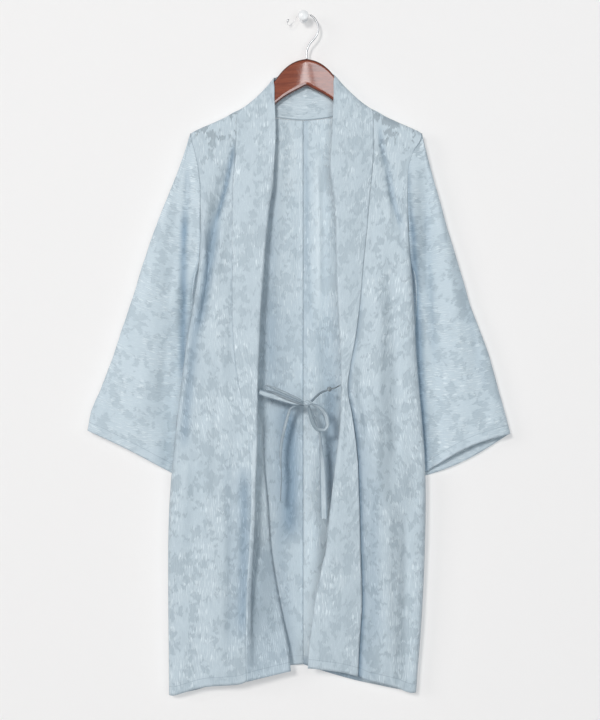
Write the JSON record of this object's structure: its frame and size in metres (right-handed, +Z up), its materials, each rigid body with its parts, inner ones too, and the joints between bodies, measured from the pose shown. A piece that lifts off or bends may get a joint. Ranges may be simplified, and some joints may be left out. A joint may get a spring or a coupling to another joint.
{
  "type": "haori on a hanger",
  "caption": "Sheer open-front haori jacket with a long collar band, wide sleeves and tied cords, hung on a shaped wooden hanger from a wall peg.",
  "frame": {"origin": "centre of the wall peg's foot, on the wall", "axes": "the wall is the plane Y = 0, the garment faces -Y, +X is the wearer's left, +Z is up"},
  "size_m": [0.7684, 0.0742, 1.2384],
  "materials": {
    "cloth": "sheer pale blue jacquard",
    "wood": "glossy mahogany",
    "steel": "bright wire",
    "white_paint": "white"
  },
  "bodies": {
    "root": {"back_right": "cloth", "back_left": "cloth", "front_right": "cloth", "front_left": "cloth", "collar": "cloth", "sleeve_right": "cloth", "sleeve_left": "cloth", "tie_right_strap": "cloth", "tie_right_loop": "cloth", "tie_right_tail": "cloth", "tie_left_strap": "cloth", "tie_left_loop": "cloth", "tie_left_tail": "cloth", "tie_left_stop": "cloth", "tie_left_chi": "cloth", "tie_knot": "cloth", "hanger_wood": "wood", "hanger_hook": "steel", "wall_peg": "white_paint"}
  },
  "joints": []
}
